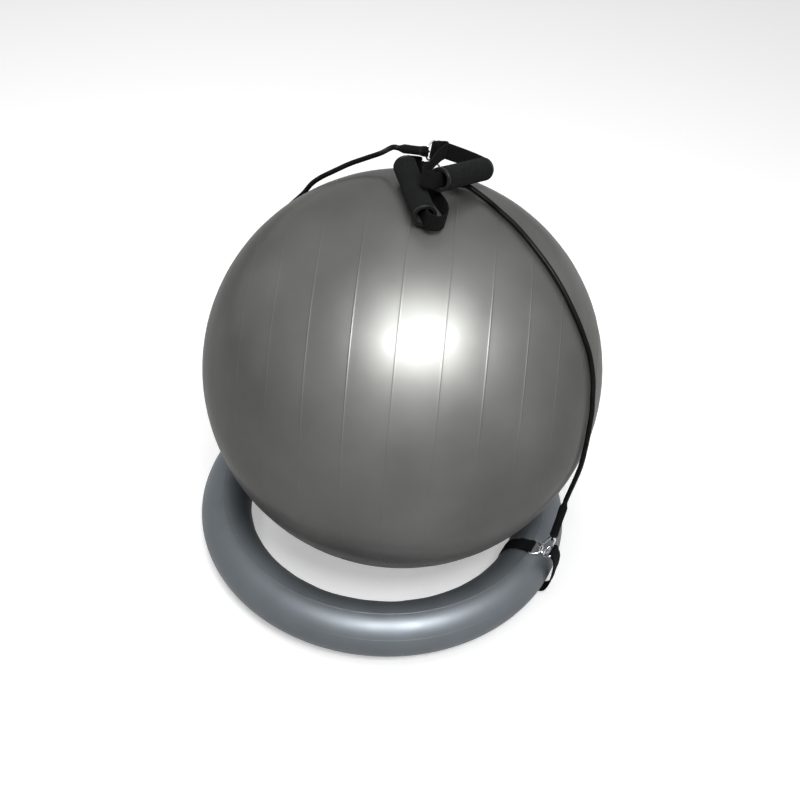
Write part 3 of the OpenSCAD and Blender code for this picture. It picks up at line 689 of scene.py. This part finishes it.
# Anchor straps: a tail, a loop round the inner bar, round the tube, up to the outer bar and back as a
# second tail. The tail is turn from the inner bar and height over the strap; the rest are x and z
strap = {"width": 25.0, "thick": 1.55, "lay": 1.6, "gap": 0.7, "rise": 1.1,
         "steps": 60, "bendSteps": 12, "tailSteps": 2, "softSteps": 4,
         "tail": ((31, 1.7), (24, 1.7), (17, 1.75), (11, 2.1), (7, 3.4), (3.6, 4.8)),
         "flat": (-13, 0, 12), "free": ((28, -39.1), (42, -33), (49, -18), (51, 0), (52, 20),
                                        (51.6, 38), (50.1, 45.8), (48.3, 50.2)),
         "foldTurn": -58, "back": ((50.2, 51.4), (52.2, 46.2), (53.35, 40), (53.55, 32), (53.4, 26),
                                   (53.2, 21)),
         "tailPoints": 12, "sewingEdge": 9.5, "sewingRow": range(-8, 9, 3), "sewingLift": 0.8}


# First tail with its loop, the way under the ring and up, and the second tail
def strapLine(v):
    r = place["tubeRadius"] + v["gap"] + v["lay"] / 2
    bend = steelLoop["wire"] + steelLoop["barGap"] + v["lay"] / 2
    barTurn = degrees(atan2(innerBar.z, innerBar.x))
    flatRise = v["rise"] - place["tubeRise"]
    flatTurn = 180 - degrees(asin(flatRise / r)) - barTurn
    tail = [(r + over) * aim(0, barTurn + a) for a, over in v["tail"]]
    loop = halfTurn(innerBar, bend, aim(0, barTurn), aim(0, barTurn - 90), v["bendSteps"])
    main = [r * aim(0, barTurn + flatTurn * k / v["steps"]) for k in range(1, v["steps"] + 1)]
    low = [(x, 0, flatRise) for x in v["flat"]] + [(x, 0, z) for x, z in v["free"]]
    fold = halfTurn(outerBar, bend, aim(0, v["foldTurn"] - 90), -aim(0, v["foldTurn"]), v["bendSteps"])
    middle = main[1:-2] + softLine(main[-2:] + low, v["softSteps"]) + fold
    back = softLine([(x, 0, z) for x, z in v["back"]], v["softSteps"])
    return softLine(tail + loop, v["tailSteps"]), middle, back


def makeStrap(side, turn, v):
    first, middle, back = ([anchorPoint(turn, p) for p in line] for line in strapLine(v))
    world = first + middle + back
    across = spun((0, 1, 0), place["anchorTurn"] + turn)
    points, sizes, n = sweptWebbing(world, across, v["width"], v["thick"])
    addPiece(f"{side}_anchor_strap", points, ringFaces(len(world), n), "base", [f"{side}_anchor_strap"],
             look["wovenWebbing"], sizes)
    # Box of stitches through each tail
    stitches = []
    for tail, flip in ((first[:v["tailPoints"]], 1), (back, -1)):
        way = headings(tail)
        up = [flip * across.cross(w).normalized() for w in way]
        on = [p + v["sewingLift"] * u for p, u in zip(tail, up)]
        last = len(tail) - 1
        for i in range(1, last):
            stitches += [(on[i] + u * v["sewingEdge"] * across, way[i], up[i]) for u in (-1, 1)]
        for i in (1, len(tail) // 2, last - 1):
            stitches += [(on[i] + u * across, across, up[i]) for u in v["sewingRow"]]
    addStitches(f"{side}_strap_sewing", stitches, "base")


makeStrap("right", 0, strap)
makeStrap("left", 180, strap)
print("straps made")

# Slings: webbing through the grip, turned back round a steel loop's bar and sewn on both outer faces
sling = {"width": 25.0, "thick": 1.55, "steps": 6, "bend": range(180, -21, -10),
         "tail": ((0.6, -6.5, 0), (0.3, -8.3, 0), (-0.5, -10, 0)),
         "sewing": ((1, 3, 5, 7), (-9, -6, -3)), "sewingRow": range(-9, 10, 3), "sewingLift": 0.8}


def makeSling(side, handle, v):
    f = gripFrame(handle)
    bar, turn = Vector(handle["bar"]), handle["turn"]
    radius = steelLoop["wire"] + steelLoop["barGap"] + strap["lay"] / 2
    ends = [[bar + Vector(q) for q in handle[key]] for key in ("starts", "ends")]
    body = softLine(ends[0] + handle["sling"] + ends[1], v["steps"])
    bend = [bar + radius * aim(a + turn, 0) for a in v["bend"]]
    tail = [bar + spun(q, turn) for q in v["tail"]]
    world = [inFrame(f, p) for p in body + bend + tail]
    points, sizes, n = sweptWebbing(world, f[3], v["width"], v["thick"])
    addPiece(f"{side}_handle_webbing", points, ringFaces(len(world), n), f"{side}_handle",
             [f"{side}_handle_webbing"], look["wovenWebbing"], sizes)
    # Box of stitches on the start's face and on the end's face beside the steel bar
    way, stitches = headings(world), []
    away = world[0] - world[-1], world[len(body) - 1] - world[-2]
    for spots, outward in zip(v["sewing"], away):
        for i in spots:
            at = i % len(body)
            up = f[3].cross(way[at]).normalized()
            up *= 1 if up.dot(outward) > 0 else -1
            stitches += [(world[at] + u * f[3] + v["sewingLift"] * up, way[at], up) for u in v["sewingRow"]]
    addStitches(f"{side}_handle_sewing", stitches, f"{side}_handle")


# Grips: foam edge as inset from the radius and height; cap's lip and rim as distance from the inner
# and the outer radius and height
gripShape = {"sides": 72, "coreGap": 0.02, "edge": [(1.3, 0), (0.45, 0.25), (0.08, 1.0)],
             "waist": 0.25, "rings": 24, "worn": 0.14, "wornRound": 2, "wornPitch": 14,
             "capInset": 0.1, "capSeat": (0.1, 2.0),
             "capLip": ((0, 2.0), (0, 3.6), (0.25, 4.0), (0.7, 4.0), (1.0, 3.85)),
             "capRim": ((2.0, 3.8), (1.5, 4.0), (0.9, 3.95), (0.3, 3.5), (0.03, 2.8), (0, 1.6), (0, 0.1))}


def makeGrip(side, handle, v):
    f = gripFrame(handle)
    half, outer, bore = gripEnd - grip["cap"], grip["foam"], grip["core"] + v["coreGap"]
    inset, start = v["edge"][-1]
    edge = [(bore, -half)] + [(outer - i, h - half) for i, h in v["edge"]]
    profile = list(edge)
    for k in range(1, v["rings"]):
        part = k / v["rings"]
        profile.append((outer - inset - v["waist"] * sin(pi * part) ** 2, (start - half) * (1 - 2 * part)))
    profile += [(r, -h) for r, h in reversed(edge)] + [(bore, 0)]

    def worn(a, h):
        q = Vector((cos(a) * v["wornRound"], sin(a) * v["wornRound"], h / v["wornPitch"]))
        return -v["worn"] * (1 + noise.noise(q))
    points, sizes, faces = turnedShape(f[0], f[1], f[2], profile, v["sides"], worn, closed=True)
    foam = addPiece(f"{side}_grip_foam", points, faces, f"{side}_grip", [f"{side}_grip_foam"],
                    look["gripFoam"], sizes)
    lip, rim = grip["core"] - grip["wall"], outer - v["capInset"]
    cap = [(lip + i, h) for i, h in v["capLip"]] + [(rim - i, h) for i, h in v["capRim"]]
    cap += [(grip["core"], h) for h in v["capSeat"]]
    for end, sign in (("near", -1), ("far", 1)):
        points, sizes, faces = turnedShape(f[0] + sign * half * f[1], sign * f[1], f[2], cap, v["sides"],
                                           None, closed=True)
        addPiece(f"{side}_{end}_cap", points, faces, f"{side}_grip", [f"{side}_grip_{end}_cap"],
                 look["capPlastic"], sizes)


for side, handle in (("right", rightHandle), ("left", leftHandle)):
    makeSling(side, handle, sling)
    makeGrip(side, handle, gripShape)
print("handles made")

# Pieces whose CAD shape is kept get their finish here
kept = {"ball_valve_plug": "plugPlastic", "base_ring_valve_plug": "plugPlastic"}
for side in ("right", "left"):
    for part in ("inner_d_ring", "outer_d_ring", "hook_body", "hook_gate", "gate_pin", "handle_d_ring"):
        kept[f"{side}_{part}"] = "platedSteel"
    kept[f"{side}_grip_core"] = "tubePlastic"
for name, finish in kept.items():
    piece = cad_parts[name]
    piece.data.materials.clear()
    piece.data.materials.append(look[finish])
print("kept pieces finished")

# Studio: a pale floor that glows for the camera and faintly in gloss, a key lamp ahead and above, a
# glow lamp in the same place that shows in gloss alone, and a lamp each from the top and the side.
# Lamps: name, place, where they point and size in metres, and power in watts
studio = {"floor": 7.0, "floorRise": -0.3, "floorColour": 0.80, "floorRough": 0.9, "floorGlow": 0.40,
          "floorGloss": 0.12, "world": 0.30}     # floor's half width in metres
lamps = [("keyLamp", (0.33, -1.34, 2.20), (0.0, 0.0, 0.45), (0.9, 0.6), 28),
         ("glowLamp", (0.33, -1.34, 2.20), (0.0, 0.0, 0.45), (1.5, 0.45), 140),
         ("topLamp", (-0.6, 0.3, 2.9), (0.0, 0.0, 0.3), (2.4, 2.4), 46),
         ("sideLamp", (2.6, -0.9, 1.3), (0.0, 0.0, 0.3), (1.4, 1.6), 14)]
white = (1, 1, 1, 1)


def mathNode(nodes, operation, second=0.0):
    n = nodes.new("ShaderNodeMath")
    n.operation = operation
    n.inputs[1].default_value = second
    return n


# One for rays from the camera and rays through gloss and glass
def seenRays(nodes, links):
    path = nodes.new("ShaderNodeLightPath")
    either, both = mathNode(nodes, "MAXIMUM"), mathNode(nodes, "MAXIMUM")
    links.new(path.outputs["Is Camera Ray"], either.inputs[0])
    links.new(path.outputs["Is Glossy Ray"], either.inputs[1])
    links.new(either.outputs[0], both.inputs[0])
    links.new(path.outputs["Is Transmission Ray"], both.inputs[1])
    return both.outputs[0]


def makeFloor(v):
    s = v["floor"] / mm
    corners = [(x * s, y * s, v["floorRise"]) for x, y in ((-1, -1), (1, -1), (1, 1), (-1, 1))]
    floor = addPiece("floor", corners, [(0, 1, 2, 3)], None)
    mat = bpy.data.materials.new("paleFloor")
    mat.use_nodes = True
    floor.data.materials.append(mat)
    nodes, links = mat.node_tree.nodes, mat.node_tree.links
    shader = nodes["Principled BSDF"]
    shader.inputs["Base Color"].default_value = (*[v["floorColour"]] * 3, 1)
    shader.inputs["Roughness"].default_value = v["floorRough"]
    shader.inputs["Specular IOR Level"].default_value = 0.0
    shader.inputs["Emission Color"].default_value = white
    glow = mathNode(nodes, "MULTIPLY_ADD", v["floorGlow"] - v["floorGloss"])
    gloss = mathNode(nodes, "MULTIPLY", v["floorGloss"])
    path = nodes.new("ShaderNodeLightPath")
    links.new(path.outputs["Is Camera Ray"], glow.inputs[0])
    links.new(seenRays(nodes, links), gloss.inputs[0])
    links.new(gloss.outputs[0], glow.inputs[2])
    links.new(glow.outputs[0], shader.inputs["Emission Strength"])


# A faint even light on the pieces, and a white room for the camera and for gloss
def makeWorld(v):
    world = bpy.data.worlds.new("studio")
    bpy.context.scene.world = world
    world.use_nodes = True
    nodes, links = world.node_tree.nodes, world.node_tree.links
    lit, seen = nodes["Background"], nodes.new("ShaderNodeBackground")
    lit.inputs["Strength"].default_value = v["world"]
    lit.inputs["Color"].default_value = white
    seen.inputs["Color"].default_value = white
    mix = nodes.new("ShaderNodeMixShader")
    links.new(seenRays(nodes, links), mix.inputs[0])
    links.new(lit.outputs[0], mix.inputs[1])
    links.new(seen.outputs[0], mix.inputs[2])
    links.new(mix.outputs[0], nodes["World Output"].inputs["Surface"])


def makeLamp(name, at, toward, size, power):
    data = bpy.data.lights.new(name, "AREA")
    data.shape = "ELLIPSE"
    data.size, data.size_y = size
    data.energy = power
    lamp = bpy.data.objects.new(name, data)
    lamp.location = at
    lamp.rotation_euler = (Vector(toward) - Vector(at)).to_track_quat("-Z", "Y").to_euler()
    lamp.visible_diffuse = name != "glowLamp"
    lamp.visible_glossy = name in ("keyLamp", "glowLamp")
    bpy.context.collection.objects.link(lamp)


makeFloor(studio)
makeWorld(studio)
for lamp in lamps:
    makeLamp(*lamp)
bpy.context.scene.view_settings.view_transform = "Standard"
print("studio made")
